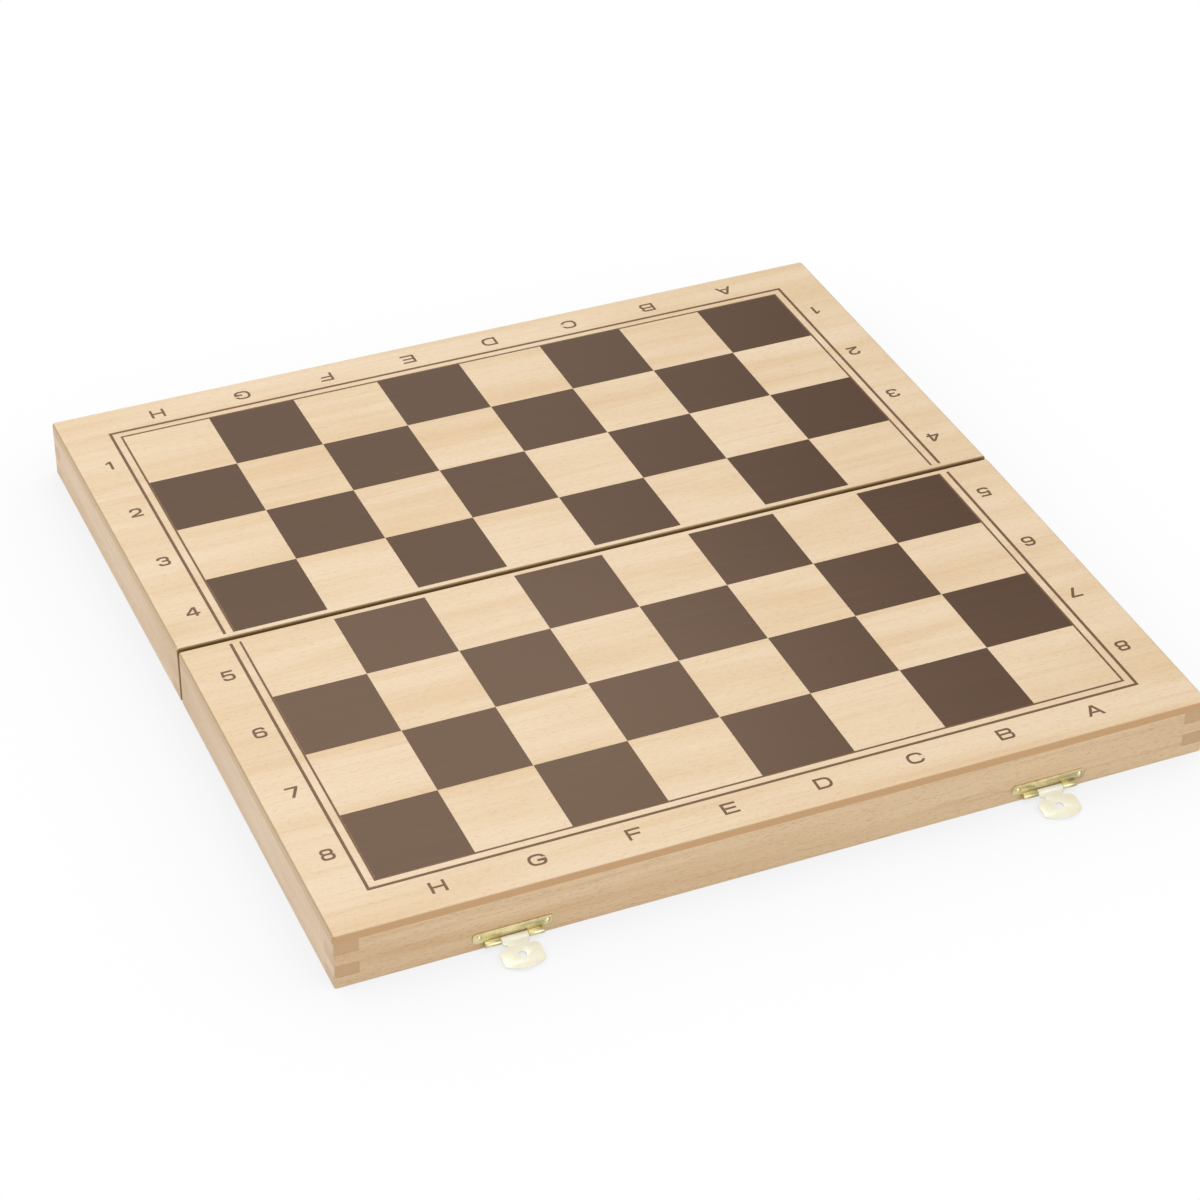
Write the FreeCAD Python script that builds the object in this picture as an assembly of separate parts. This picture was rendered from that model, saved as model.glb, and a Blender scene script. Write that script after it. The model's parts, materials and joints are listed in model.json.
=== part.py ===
import FreeCAD, Part
import math
import os

# Folding chess board: two shallow finger-jointed trays that lie open side by side as a
# playing board, hinged along the seam under the field and shut by two brass hasp clasps.
# Lengths are in millimetres, X runs along the seam, Y from front to back, Z up.
# Everything is built open and flat, with the hinge axis on the X axis and the rims of
# both trays on Z = 0. Each half is then turned a little about that axis, so that it stands
# on the hinge barrels and its outer rim, and is moved to the part's origin.

# Playing field
files = 8
ranks_per_half = 4
square_pitch = 38.0
side_border = 24.6  # field to the left or right edge of the board
end_border = 23.2  # field to the front or back edge
seam_border = 3.3  # field to the middle of the seam
print_thickness = 0.08
print_gap = 0.06  # bare edge round each printed square
inner_line_width = 0.85
outer_line_width = 1.2
frame_line_space = 2.85  # bare wood between the two frame lines

# Trays
seam_gap = 1.5
panel_thickness = 4.0
wall_height = 20.9
long_wall_thickness = 9.5
side_wall_thickness = 9.5
finger_count = 4
top_edge_radius = 1.2
tray_corner_radius = 1.5
seam_edge_radius = 0.5
rim_edge_radius = 0.5

# Butt hinges across the seam
hinge_inset = 70.6  # edge of the board to the middle of the hinge
hinge_length = 30.0
hinge_leaf_width = 8.0  # pin axis to the free edge of a leaf
hinge_leaf_thickness = 0.9
hinge_leaf_corner = 1.0
hinge_pin_radius = 0.8
hinge_knuckle_wall = 0.75
hinge_knuckles = 3
mortise_gap = 0.1
screw_edge = 5.0  # end of a leaf to its screw
screw_line = 5.0  # pin axis to the row of screws
screw_head_radius = 1.9
screw_shank_radius = 0.95
screw_length = 9.0
screw_sink = 0.05  # head below the face of the leaf

# Hasp clasps on the front wall
clasp_inset = 67.6  # edge of the board to the middle of the clasp
clasp_plate_length = 31.0
clasp_plate_rise = 5.0  # pin axis to the top of the plate
clasp_plate_thickness = 0.6
clasp_axis_height = 3.0  # rim to the clasp pin
clasp_ear_length = 4.2
clasp_ear_corner = 1.6
clasp_pin_radius = 0.6
clasp_knuckle_wall = 0.65
clasp_wall_gap = 0.3  # between the knuckles and the wall

# Clasp tongue
tongue_length = 15.2  # pin axis to the tip
tongue_thickness = 0.7
tongue_strap_width = 10.4
tongue_neck_width = 7.4
tongue_bell_width = 15.8
tongue_hole_distance = 8.3
tongue_hole_radius = 1.5
tongue_end_radius = 10.5
tongue_lip_angle = 28.0  # degrees that the lip is bent away from the wall
tongue_lip_radius = 2.5
strap_end_share = 0.16  # places along the tongue, as shares of its length
neck_start_share = 0.20
neck_end_share = 0.25
bell_start_share = 0.29
lip_start_share = 0.80
tongue_notch_radius = 0.6
tongue_corner_radius = 0.8
tongue_shoulder_radius = 2.4

# Catches on the back wall
catch_ear_length = 4.7  # on each side of the closed tongue
catch_plate_height = 6.0
knob_clearance = 0.3  # radial, in the tongue's hole
knob_waist_depth = 0.25
knob_crown = 0.75  # stands out of the closed tongue
knob_waist_share = 0.45  # of the knob's height above its plate

# Nails of the clasps and catches
nail_head_radius = 1.3
nail_head_height = 0.55
nail_shank_radius = 0.55
nail_length = 7.0
nail_edge = 2.3  # nail to the end of its plate

# Fits and working allowances
running_clearance = 0.05  # radial, round every pin, screw and nail
knuckle_gap = 0.15  # end play between neighbouring knuckles
swing_clearance = 0.4  # round a barrel that turns past another piece
floor_gap = 0.1  # between the tongues at rest and the table
overrun = 1.0  # how far a cut runs past the face it opens
tiny = 0.000001  # an edge shorter than this is left out

# Worked out from the sizes above
board_half_width = files * square_pitch / 2 + side_border
half_depth = seam_border + ranks_per_half * square_pitch + end_border
tray_height = wall_height + panel_thickness
field_half_width = files * square_pitch / 2
seam_face = seam_gap / 2
hinge_barrel_radius = hinge_pin_radius + running_clearance + hinge_knuckle_wall
hinge_x = board_half_width - hinge_inset
screw_x = hinge_length / 2 - screw_edge
clasp_barrel_radius = clasp_pin_radius + running_clearance + clasp_knuckle_wall
clasp_x = board_half_width - clasp_inset
clasp_plate_top = clasp_axis_height + clasp_plate_rise
clasp_ear_foot = clasp_axis_height + clasp_pin_radius
clasp_axis_y = -half_depth - clasp_wall_gap - clasp_barrel_radius
settle = math.asin(hinge_barrel_radius / (half_depth - rim_edge_radius))
settle_angle = math.degrees(settle)
settled_axis_y = clasp_axis_y * math.cos(settle) - clasp_axis_height * math.sin(settle)
settled_axis_height = clasp_axis_y * math.sin(settle) + clasp_axis_height * math.cos(settle)
lip_start = lip_start_share * tongue_length
rest_drop = settled_axis_height + hinge_barrel_radius - floor_gap - tongue_thickness / 2
tongue_rest_angle = math.degrees(math.asin(rest_drop / lip_start))
catch_height = tongue_hole_distance - clasp_axis_height
catch_plate_length = tongue_bell_width + 2 * catch_ear_length
knob_radius = tongue_hole_radius - knob_clearance
knob_height = clasp_wall_gap + clasp_barrel_radius + tongue_thickness / 2 + knob_crown

x_axis = FreeCAD.Vector(1, 0, 0)
y_axis = FreeCAD.Vector(0, 1, 0)
z_axis = FreeCAD.Vector(0, 0, 1)
centre = FreeCAD.Vector(0, 0, 0)


def vector(x, y, z):
    return FreeCAD.Vector(x, y, z)


def box(x0, x1, y0, y1, z0, z1):
    return Part.makeBox(x1 - x0, y1 - y0, z1 - z0, vector(x0, y0, z0))


def rod(radius, start, end):
    return Part.makeCylinder(radius, (end - start).Length, start, end - start)


def moved(shape, x, y, z):
    copy = shape.copy()
    copy.translate(vector(x, y, z))
    return copy


def settled(shapes, angle):
    # The named shapes of one half, turned about the hinge axis until its rim is on the table.
    turned = {}
    for name, shape in shapes.items():
        turned[name] = shape.copy()
        turned[name].rotate(centre, x_axis, angle)
    return turned


def half_turned(shape):
    # The front half is the back half turned half round about the middle of the board.
    copy = shape.copy()
    copy.rotate(centre, z_axis, 180)
    return copy


def mirrored(shape):
    return shape.mirror(centre, x_axis)


def group(shapes):
    return Part.makeCompound(shapes)


def rounded_face(points, radii):
    # Plane face through the points in turn, each corner an arc of its own radius, which
    # takes up at most half of the shorter side beside it.
    edges = []
    starts = []
    ends = []
    count = len(points)
    for i in range(count):
        corner = points[i]
        back = points[i - 1] - corner
        ahead = points[(i + 1) % count] - corner
        shorter = min(back.Length, ahead.Length)
        back.normalize()
        ahead.normalize()
        half_angle = back.getAngle(ahead) / 2
        reach = min(radii[i] / math.tan(half_angle), shorter / 2)
        radius = reach * math.tan(half_angle)
        starts.append(corner + back * reach)
        ends.append(corner + ahead * reach)
        if radius > 0:
            inward = (back + ahead).normalize()
            middle = corner + inward * (radius / math.sin(half_angle) - radius)
            edges.append(Part.Arc(starts[i], middle, ends[i]).toShape())
    for i in range(count):
        start, end = ends[i], starts[(i + 1) % count]
        if start.distanceToPoint(end) > tiny:
            edges.append(Part.LineSegment(start, end).toShape())
    return Part.Face(Part.Wire(Part.__sortEdges__(edges)))


def wall_block():
    # Outside of the back tray below its panel, solid: a side profile, an end profile and a
    # plan, each with its own rounded corners, carried across the tray and intersected.
    x1 = board_half_width
    y0 = seam_face
    y1 = half_depth
    z1 = wall_height
    side = [vector(-x1, y0, 0), vector(-x1, y1, 0), vector(-x1, y1, z1), vector(-x1, y0, z1)]
    end = [vector(-x1, y0, 0), vector(x1, y0, 0), vector(x1, y0, z1), vector(-x1, y0, z1)]
    rim_radii = [rim_edge_radius, rim_edge_radius, 0, 0]
    plan = [vector(-x1, y0, 0), vector(x1, y0, 0), vector(x1, y1, 0), vector(-x1, y1, 0)]
    plan_radii = [seam_edge_radius, seam_edge_radius, tray_corner_radius, tray_corner_radius]
    block = rounded_face(side, rim_radii).extrude(x_axis * 2 * x1)
    block = block.common(rounded_face(end, rim_radii).extrude(y_axis * (y1 - y0)))
    return block.common(rounded_face(plan, plan_radii).extrude(z_axis * z1))


def tray_panel():
    # Sheet flush with the walls below. Its top edge is rounded over in one run from the seam
    # round to the seam again, and the edges beside the seam are only eased.
    x1 = board_half_width
    foot = wall_height
    corners = [vector(-x1, seam_face, foot), vector(x1, seam_face, foot)]
    corners = corners + [vector(x1, half_depth, foot), vector(-x1, half_depth, foot)]
    plan = rounded_face(corners, [0, 0, tray_corner_radius, tray_corner_radius])
    sheet = plan.extrude(z_axis * panel_thickness)
    run = [edge for edge in sheet.Edges if on_top(edge) and not beside_seam(edge)]
    sheet = sheet.makeFillet(top_edge_radius, run)
    eased = [edge for edge in sheet.Edges if beside_seam(edge) and not on_foot(edge)]
    return sheet.makeFillet(seam_edge_radius, eased)


def on_top(edge):
    return edge.BoundBox.ZMin > tray_height - tiny


def on_foot(edge):
    return edge.BoundBox.ZMax < wall_height + tiny


def beside_seam(edge):
    return edge.BoundBox.YMax < seam_face + tiny


def finger_rows(first):
    # Height spans of every second finger, counted down from the panel.
    finger = wall_height / finger_count
    tops = [wall_height - row * finger for row in range(first, finger_count, 2)]
    return [(top - finger, top) for top in tops]


def long_wall(block, y0, y1):
    # Runs the whole width; its ends are notched for the side walls' fingers.
    wall = box(-board_half_width, board_half_width, y0, y1, 0, wall_height)
    inside = board_half_width - side_wall_thickness
    outside = board_half_width + overrun
    for low, high in finger_rows(0):
        wall = wall.cut(box(inside, outside, y0 - overrun, y1 + overrun, low, high))
        wall = wall.cut(box(-outside, -inside, y0 - overrun, y1 + overrun, low, high))
    return wall.common(block)


def side_wall(block):
    # Right-hand wall; its ends are notched for the long walls' fingers.
    x0 = board_half_width - side_wall_thickness
    x1 = board_half_width
    wall = box(x0, x1, seam_face, half_depth, 0, wall_height)
    near = seam_face + long_wall_thickness
    far = half_depth - long_wall_thickness
    for low, high in finger_rows(1):
        wall = wall.cut(box(x0 - overrun, x1 + overrun, seam_face - overrun, near, low, high))
        wall = wall.cut(box(x0 - overrun, x1 + overrun, far, half_depth + overrun, low, high))
    return wall.common(block)


def dark_squares():
    # Printed squares of the back half; the far right-hand corner square is dark.
    squares = []
    side = square_pitch - 2 * print_gap
    top = tray_height + print_thickness
    for rank in range(ranks_per_half):
        for file in range(files):
            if (rank + file) % 2 == (ranks_per_half + files) % 2:
                x0 = file * square_pitch - field_half_width + print_gap
                y0 = rank * square_pitch + seam_border + print_gap
                squares.append(box(x0, x0 + side, y0, y0 + side, tray_height, top))
    return group(squares)


def frame_line(offset, width):
    # Printed line round three sides of the half field, open at the seam.
    x1 = field_half_width + offset
    y1 = seam_border + ranks_per_half * square_pitch + offset
    top = tray_height + print_thickness
    outer = box(-x1 - width, x1 + width, seam_border, y1 + width, tray_height, top)
    inner = box(-x1, x1, seam_border - overrun, y1, tray_height - overrun, top + overrun)
    return outer.cut(inner)


def frame_lines():
    outer_offset = inner_line_width + frame_line_space
    return group([frame_line(0, inner_line_width), frame_line(outer_offset, outer_line_width)])


def knuckle_spans(length, count):
    # Start and end along X of each knuckle of a barrel centred on zero.
    pitch = length / count
    return [(i * pitch - length / 2, (i + 1) * pitch - length / 2) for i in range(count)]


def hinge_leaf(first):
    # Back leaf, flush in the rim: it carries every second knuckle from the first given,
    # and is cut clear of the knuckles of the other leaf.
    half = hinge_length / 2
    width = hinge_leaf_width
    corners = [vector(-half, 0, 0), vector(half, 0, 0), vector(half, width, 0), vector(-half, width, 0)]
    face = rounded_face(corners, [0, 0, hinge_leaf_corner, hinge_leaf_corner])
    leaf = face.extrude(z_axis * hinge_leaf_thickness)
    reach = hinge_barrel_radius + swing_clearance
    barrel = rod(hinge_barrel_radius, vector(-half, 0, 0), vector(half, 0, 0))
    leaf = leaf.fuse(barrel)
    for i, (x0, x1) in enumerate(knuckle_spans(hinge_length, hinge_knuckles)):
        if i % 2 != first:
            leaf = leaf.cut(box(x0 - knuckle_gap, x1 + knuckle_gap, -reach, reach, -reach, reach))
    bore = hinge_pin_radius + running_clearance
    leaf = leaf.cut(rod(bore, vector(-half - overrun, 0, 0), vector(half + overrun, 0, 0)))
    for x in (-screw_x, screw_x):
        leaf = leaf.cut(screw_pocket(x))
    return leaf.removeSplitter()


def hinge_pin():
    half = hinge_length / 2
    return rod(hinge_pin_radius, vector(-half, 0, 0), vector(half, 0, 0))


def screw(x):
    # Countersunk screw that points up into the seam wall.
    head = screw_head_radius - screw_shank_radius
    taper = screw_length - screw_shank_radius
    outline = [(0, screw_sink), (screw_head_radius, screw_sink), (screw_shank_radius, screw_sink + head)]
    outline = outline + [(screw_shank_radius, taper), (0, screw_length), (0, screw_sink)]
    profile = Part.Face(Part.makePolygon([vector(r, 0, z) for r, z in outline]))
    return moved(profile.revolve(centre, z_axis, 360), x, screw_line, 0)


def screw_pocket(x):
    # Clearance round the screw, through the leaf and up into the wall.
    radius = screw_shank_radius + running_clearance
    mouth = screw_head_radius + running_clearance
    cone = Part.makeCone(mouth + screw_sink, radius, mouth + screw_sink - radius)
    sink = Part.makeCylinder(mouth + screw_sink, overrun, vector(0, 0, -overrun))
    hole = Part.makeCylinder(radius, screw_length + running_clearance)
    return moved(cone.fuse([sink, hole]), x, screw_line, 0)


def hinge_screws():
    return [screw(-screw_x), screw(screw_x)]


def seam_wall(block):
    # The wall beside the seam, with a mortise, barrel groove and screw holes per hinge.
    wall = long_wall(block, seam_face, seam_face + long_wall_thickness)
    half = hinge_length / 2 + mortise_gap
    width = hinge_leaf_width + mortise_gap
    mortise = box(-half, half, seam_face - overrun, width, -overrun, hinge_leaf_thickness)
    groove = rod(hinge_barrel_radius + swing_clearance, vector(-half, 0, 0), vector(half, 0, 0))
    for x in (-hinge_x, hinge_x):
        wall = wall.cut(moved(mortise, x, 0, 0)).cut(moved(groove, x, 0, 0))
        for dx in (-screw_x, screw_x):
            wall = wall.cut(moved(screw_pocket(dx), x, 0, 0))
    return wall


def nail():
    # Round-headed nail driven along +Y through a plate that lies on the plane Y = 0.
    seat = -clasp_plate_thickness
    crown = seat - nail_head_height
    head_foot = vector(nail_head_radius, seat, 0)
    ball = (nail_head_radius ** 2 + nail_head_height ** 2) / (2 * nail_head_height)
    turn = math.asin(nail_head_radius / ball) / 2
    middle = vector(ball * math.sin(turn), crown + ball * (1 - math.cos(turn)), 0)
    dome = Part.Arc(vector(0, crown, 0), middle, head_foot).toShape()
    point = nail_length - nail_shank_radius
    corners = [head_foot, vector(nail_shank_radius, seat, 0), vector(nail_shank_radius, point, 0)]
    corners = corners + [vector(0, nail_length, 0), vector(0, crown, 0)]
    wire = Part.Wire([dome] + Part.makePolygon(corners).Edges)
    return Part.Face(wire).revolve(centre, y_axis, 360)


def nail_hole():
    depth = nail_length + running_clearance
    return rod(nail_shank_radius + running_clearance, vector(0, -depth, 0), vector(0, depth, 0))


def clasp_nail_places():
    x = clasp_plate_length / 2 - nail_edge
    z = (clasp_ear_foot + clasp_plate_top) / 2
    return [(-x, z), (x, z)]


def catch_nail_places():
    x = catch_plate_length / 2 - nail_edge
    return [(-x, catch_height), (x, catch_height)]


def clasp_plate():
    # Plate on the front wall with an outer knuckle on each side of the tongue.
    wall = -half_depth
    inner = clasp_plate_length / 2 - clasp_ear_length
    outer = clasp_plate_length / 2
    top = clasp_plate_top
    foot = clasp_ear_foot
    outline = [(-inner, clasp_axis_height), (inner, clasp_axis_height), (inner, foot), (outer, foot)]
    outline = outline + [(outer, top), (-outer, top), (-outer, foot), (-inner, foot)]
    corner = clasp_ear_corner
    radii = [0, 0, 0, corner, corner, corner, corner, 0]
    face = rounded_face([vector(x, wall, z) for x, z in outline], radii)
    plate = face.extrude(y_axis * -clasp_plate_thickness)
    slot = tongue_strap_width / 2 + knuckle_gap
    reach = clasp_barrel_radius + swing_clearance
    plate = plate.cut(box(-slot, slot, clasp_axis_y - reach, wall + overrun, 0, clasp_axis_height + reach))
    for x0, x1 in ((-inner, -slot), (slot, inner)):
        plate = plate.fuse(clasp_rod(clasp_barrel_radius, x0, x1))
    plate = plate.cut(clasp_rod(clasp_pin_radius + running_clearance, -inner - overrun, inner + overrun))
    for x, z in clasp_nail_places():
        plate = plate.cut(moved(nail_hole(), x, wall, z))
    return plate.removeSplitter()


def clasp_rod(radius, x0, x1):
    start = vector(x0, clasp_axis_y, clasp_axis_height)
    return rod(radius, start, start + x_axis * (x1 - x0))


def clasp_pin():
    half = clasp_plate_length / 2 - clasp_ear_length
    return clasp_rod(clasp_pin_radius, -half, half)


def tongue_plan():
    # Outline seen square on: strap, notched neck and a bell with round shoulders, its tip
    # rounded to one arc.
    notch = tongue_notch_radius
    corner = tongue_corner_radius
    shoulder = tongue_shoulder_radius
    steps = [
        (0, tongue_strap_width, 0),
        (strap_end_share, tongue_strap_width, corner),
        (neck_start_share, tongue_neck_width, notch),
        (neck_end_share, tongue_neck_width, notch),
        (bell_start_share, tongue_bell_width, shoulder),
        (1, tongue_bell_width, 0),
    ]
    right = [vector(width / 2, -share * tongue_length, 0) for share, width, radius in steps]
    left = [vector(-point.x, point.y, 0) for point in reversed(right)]
    radii = [radius for share, width, radius in steps]
    plan = rounded_face(right + left, radii + radii[::-1]).extrude(z_axis * 2 * tongue_length)
    plan.translate(z_axis * -tongue_length)
    tip_centre = vector(0, tongue_end_radius - tongue_length, -tongue_length)
    return plan.common(Part.makeCylinder(tongue_end_radius, 2 * tongue_length, tip_centre))


def tongue_strip():
    # Side view of the bent strip, straight from the pin and lifted at the lip, full width.
    angle = math.radians(tongue_lip_angle)
    low = -tongue_thickness / 2
    high = tongue_thickness / 2
    tip = -tongue_length - overrun
    tip_low = low + (-lip_start - tip) * math.tan(angle)
    tip_high = tip_low + tongue_thickness / math.cos(angle)
    bend = -lip_start + tongue_thickness * math.tan(angle / 2)
    outline = [(0, low), (-lip_start, low), (tip, tip_low), (tip, tip_high), (bend, high), (0, high)]
    radii = [0, tongue_lip_radius + tongue_thickness, 0, 0, tongue_lip_radius, 0]
    points = [vector(-tongue_bell_width / 2, y, z) for y, z in outline]
    return rounded_face(points, radii).extrude(x_axis * tongue_bell_width)


def clasp_tongue():
    # Level tongue about the X axis, swung down about its pin until it will near the table.
    half = tongue_strap_width / 2
    tongue = tongue_plan().common(tongue_strip())
    tongue = tongue.fuse(rod(clasp_barrel_radius, vector(-half, 0, 0), vector(half, 0, 0)))
    bore = clasp_pin_radius + running_clearance
    tongue = tongue.cut(rod(bore, vector(-half - overrun, 0, 0), vector(half + overrun, 0, 0)))
    hole_foot = vector(0, -tongue_hole_distance, -tongue_thickness)
    tongue = tongue.cut(rod(tongue_hole_radius, hole_foot, hole_foot + z_axis * 2 * tongue_thickness))
    tongue = tongue.removeSplitter()
    tongue.rotate(centre, x_axis, tongue_rest_angle - settle_angle)
    return moved(tongue, 0, clasp_axis_y, clasp_axis_height)


def catch_plate():
    # Plate on the back wall with a pressed knob that fills the tongue's hole.
    x = catch_plate_length / 2
    low = catch_height - catch_plate_height / 2
    high = catch_height + catch_plate_height / 2
    corners = [vector(-x, 0, low), vector(x, 0, low), vector(x, 0, high), vector(-x, 0, high)]
    plate = rounded_face(corners, [catch_plate_height / 2] * 4).extrude(y_axis * clasp_plate_thickness)
    plate = plate.fuse(moved(knob(), 0, 0, catch_height))
    for nail_x, z in catch_nail_places():
        plate = plate.cut(moved(nail_hole(), nail_x, 0, z))
    return moved(plate.removeSplitter(), 0, half_depth, 0)


def knob():
    # Waisted button along +Y, a turned profile with a chamfered crown.
    foot = clasp_plate_thickness
    neck = knob_radius - knob_waist_depth
    waist = foot + (knob_height - foot) * knob_waist_share
    shoulder = knob_height - knob_waist_depth
    outline = [(0, 0), (knob_radius, 0), (knob_radius, foot), (neck, waist), (knob_radius, shoulder)]
    outline = outline + [(neck, knob_height), (0, knob_height), (0, 0)]
    profile = Part.Face(Part.makePolygon([vector(r, y, 0) for r, y in outline]))
    return profile.revolve(centre, y_axis, 360)


def outer_wall(block, places):
    # The wall opposite the seam, drilled for the nails of its clasps or catches.
    wall = long_wall(block, half_depth - long_wall_thickness, half_depth)
    for middle in (-clasp_x, clasp_x):
        for x, z in places:
            wall = wall.cut(moved(nail_hole(), middle + x, half_depth, z))
    return wall


def tray(block, nail_places):
    # Panel, walls and prints of one half, in the back position.
    right_wall = side_wall(block)
    return {
        "panel": tray_panel(),
        "outer_wall": outer_wall(block, nail_places),
        "left_wall": mirrored(right_wall),
        "right_wall": right_wall,
        "seam_wall": seam_wall(block),
        "dark_squares": dark_squares(),
        "frame_lines": frame_lines(),
    }


def back_half(block):
    pieces = {"back_" + name: shape for name, shape in tray(block, catch_nail_places()).items()}
    leaf = hinge_leaf(0)
    catch = catch_plate()
    nails = []
    screws = []
    for side, sign in (("left", -1), ("right", 1)):
        pieces["back_" + side + "_hinge_leaf"] = moved(leaf, sign * hinge_x, 0, 0)
        pieces[side + "_hinge_pin"] = moved(hinge_pin(), sign * hinge_x, 0, 0)
        pieces[side + "_catch_plate"] = moved(catch, sign * clasp_x, 0, 0)
        screws = screws + [moved(one, sign * hinge_x, 0, 0) for one in hinge_screws()]
        driven = half_turned(nail())
        nails = nails + [moved(driven, sign * clasp_x + x, half_depth, z) for x, z in catch_nail_places()]
    pieces["back_hinge_screws"] = group(screws)
    pieces["catch_nails"] = group(nails)
    return pieces


def front_half(block):
    # The tray and leaves are turned half round, so left and right change places.
    pieces = {}
    swapped = {"left_wall": "right_wall", "right_wall": "left_wall"}
    for name, shape in tray(block, clasp_nail_places()).items():
        pieces["front_" + swapped.get(name, name)] = half_turned(shape)
    leaf = half_turned(hinge_leaf(1))
    plate = clasp_plate()
    nails = []
    screws = []
    for side, sign in (("left", -1), ("right", 1)):
        pieces["front_" + side + "_hinge_leaf"] = moved(leaf, sign * hinge_x, 0, 0)
        pieces[side + "_clasp_plate"] = moved(plate, sign * clasp_x, 0, 0)
        pieces[side + "_clasp_pin"] = moved(clasp_pin(), sign * clasp_x, 0, 0)
        screws = screws + [moved(half_turned(one), sign * hinge_x, 0, 0) for one in hinge_screws()]
        driven = nail()
        nails = nails + [moved(driven, sign * clasp_x + x, -half_depth, z) for x, z in clasp_nail_places()]
    pieces["front_hinge_screws"] = group(screws)
    pieces["clasp_nails"] = group(nails)
    return pieces


def write(pieces):
    # The origin is on the table, under the middle of the open board's footprint.
    front = pieces["left_clasp_tongue"].BoundBox.YMin
    back = pieces["left_catch_plate"].BoundBox.YMax
    seam_y = -(front + back) / 2
    os.makedirs("parts", exist_ok=True)
    for name, shape in pieces.items():
        placed = moved(shape, 0, seam_y, hinge_barrel_radius)
        placed.exportStep("parts/" + name + ".step")
    print("fold axis y, z:", round(seam_y, 3), round(hinge_barrel_radius, 3))
    clasp_y, clasp_z = seam_y + settled_axis_y, hinge_barrel_radius + settled_axis_height
    print("clasp axis x, y, z:", round(clasp_x, 3), round(clasp_y, 3), round(clasp_z, 3))
    print("tongues at rest, degrees below level:", round(tongue_rest_angle, 3))
    print("each half at rest, degrees below level:", round(settle_angle, 4))


block = wall_block()
front = front_half(block)
tongue = clasp_tongue()
front["left_clasp_tongue"] = moved(tongue, -clasp_x, 0, 0)
front["right_clasp_tongue"] = moved(tongue, clasp_x, 0, 0)
pieces = settled(back_half(block), -settle_angle)
pieces.update(settled(front, settle_angle))
write(pieces)
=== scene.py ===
import json
import math
import bmesh
import bpy
import numpy as np
from mathutils import Matrix, Vector
from mathutils.geometry import tessellate_polygon


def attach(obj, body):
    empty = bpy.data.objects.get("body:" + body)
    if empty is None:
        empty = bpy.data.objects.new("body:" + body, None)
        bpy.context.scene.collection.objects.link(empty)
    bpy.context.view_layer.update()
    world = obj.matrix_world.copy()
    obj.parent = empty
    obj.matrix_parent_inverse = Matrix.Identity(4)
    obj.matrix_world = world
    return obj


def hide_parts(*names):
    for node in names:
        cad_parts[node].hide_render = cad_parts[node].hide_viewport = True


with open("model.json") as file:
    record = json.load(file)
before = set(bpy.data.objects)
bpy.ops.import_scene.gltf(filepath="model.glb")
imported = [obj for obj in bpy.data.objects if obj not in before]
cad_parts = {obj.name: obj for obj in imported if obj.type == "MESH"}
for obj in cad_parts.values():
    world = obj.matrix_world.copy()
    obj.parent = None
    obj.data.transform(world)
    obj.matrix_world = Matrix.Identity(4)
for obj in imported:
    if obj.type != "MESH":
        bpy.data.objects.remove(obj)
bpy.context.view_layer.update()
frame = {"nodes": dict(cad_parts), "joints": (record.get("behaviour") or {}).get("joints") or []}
nodes = frame["nodes"]
print("frame loaded,", len(nodes), "nodes")

mm = 0.001

# each half stands turned a little about the hinge line; places and patterns are worked out as if it lay flat
fold = next(joint for joint in frame["joints"] if joint["name"] == "board_fold")
hinge = np.array(fold["pos_m"])
sag = math.radians(-fold["range_deg"][0] / 2)
settle = {"back": -sag, "front": sag}


def turned(points, angle):  # about the hinge line: y' = y cos - z sin and z' = y sin + z cos
    x, y, z = (np.asarray(points, float) - hinge).T
    down, across = math.sin(angle), math.cos(angle)
    return np.column_stack([x, y * across - z * down, y * down + z * across]) + hinge


def flatBox(name, half):  # low and high corner of a node, its half laid flat
    vertices = nodes[name].data.vertices
    places = np.empty(len(vertices) * 3)
    vertices.foreach_get("co", places)
    places = turned(places.reshape(-1, 3), -settle[half])
    return Vector(places.min(0)), Vector(places.max(0))


squaresLow, squaresHigh = flatBox("back_dark_squares", "back")
panelLow, panelHigh = flatBox("back_panel", "back")
wallLow, wallHigh = flatBox("back_right_wall", "back")
halfRanks = 4  # ranks on each half, half as many as there are files
squarePitch = ((squaresHigh.x - squaresLow.x) - (squaresHigh.y - squaresLow.y)) / halfRanks
fieldHalf = halfRanks * squarePitch
seamY, rimZ = float(hinge[1]), float(hinge[2])
fieldEnd = squaresHigh.y - seamY  # seam to the far edge of the last rank
boardHalf = panelHigh.x
panelFoot = panelLow.z
topZ = panelHigh.z
wallThick = wallHigh.x - wallLow.x
halfTray = (panelHigh.y - panelLow.y) / 2  # middle of a tray to its front or back edge
middleReach = (panelHigh.y + panelLow.y) / 2 - seamY
trayMiddle = {"back": seamY + middleReach, "front": seamY - middleReach}
easedEdge = 0.3 * mm
seamEdge = panelLow.y - seamY + easedEdge  # where the eased edge beside the seam turns up to the top


def tone(red, green, blue):  # a colour as a screen shows it, 0-255, to the linear colour of a shader
    shares = [channel / 255 for channel in (red, green, blue)]
    return tuple(s / 12.92 if s <= 0.04045 else ((s + 0.055) / 1.055) ** 2.4 for s in shares) + (1.0,)


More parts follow.
